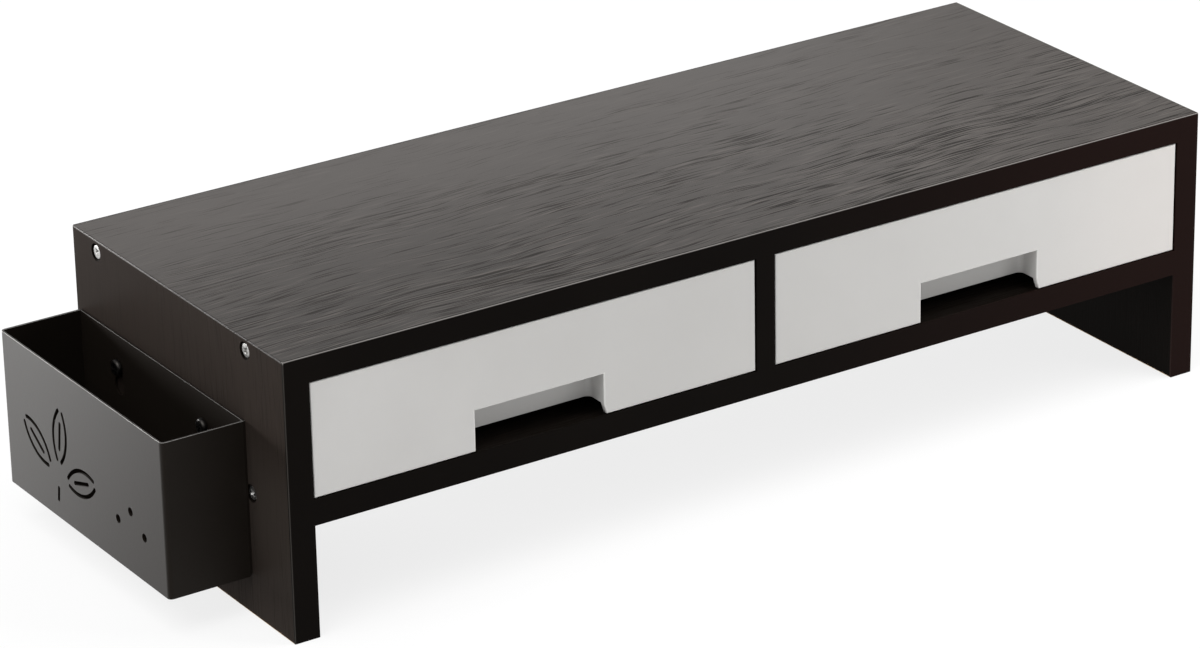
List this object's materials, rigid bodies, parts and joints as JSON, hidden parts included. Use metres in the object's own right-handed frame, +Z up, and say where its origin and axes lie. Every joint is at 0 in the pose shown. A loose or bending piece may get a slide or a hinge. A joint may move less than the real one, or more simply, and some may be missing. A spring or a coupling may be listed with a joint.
{
  "type": "monitor stand with drawers",
  "caption": "Low desk riser for a monitor: coated board carcass with side-by-side drawers under its top and a sheet-metal pen holder hung on one side.",
  "frame": {"origin": "middle of the whole object with its pen holder, at the table", "axes": "+X along the width, from the pen holder side to the plain side; +Y from the drawer fronts to the back; +Z up"},
  "size_m": [0.5414, 0.19, 0.134],
  "materials": {
    "coated_board": "near-black wood-grain coated particle board, satin",
    "edge_band": "near-black edge strip, satin",
    "back_sheet": "black coated fibre sheet, matt",
    "drawer_plastic": "pale grey-white moulded plastic, matt",
    "powder_coat": "black powder coat on sheet steel, satin",
    "screw_steel": "bright zinc-plated steel",
    "dowel_wood": "plain beech, unfinished"
  },
  "bodies": {
    "carcass": {"top_panel": "coated_board", "left_side_panel": "coated_board", "right_side_panel": "coated_board", "drawer_shelf": "coated_board", "centre_divider": "coated_board", "back_panel": "back_sheet", "left_side_front_band": "edge_band", "left_side_rear_band": "edge_band", "left_side_top_band": "edge_band", "right_side_front_band": "edge_band", "right_side_rear_band": "edge_band", "right_side_top_band": "edge_band", "top_front_band": "edge_band", "top_rear_band": "edge_band", "shelf_front_band": "edge_band", "shelf_rear_band": "edge_band", "divider_front_band": "edge_band", "left_side_screws": "screw_steel", "right_side_screws": "screw_steel", "divider_screws": "screw_steel", "divider_dowels": "dowel_wood", "pen_holder_screws": "screw_steel"},
    "left_drawer": {"left_drawer": "drawer_plastic"},
    "right_drawer": {"right_drawer": "drawer_plastic"},
    "pen_holder": {"pen_holder_wall": "powder_coat", "pen_holder_back": "powder_coat"}
  },
  "joints": [
    {"name": "left_drawer_slide", "type": "slide", "parent": "carcass", "child": "left_drawer", "axis": [0, -1, 0], "range_m": [0, 0.15]},
    {"name": "right_drawer_slide", "type": "slide", "parent": "carcass", "child": "right_drawer", "axis": [0, -1, 0], "range_m": [0, 0.15]},
    {"name": "pen_holder_lift", "type": "slide", "parent": "carcass", "child": "pen_holder", "axis": [0, 0, 1], "range_m": [0, 0.009]}
  ]
}
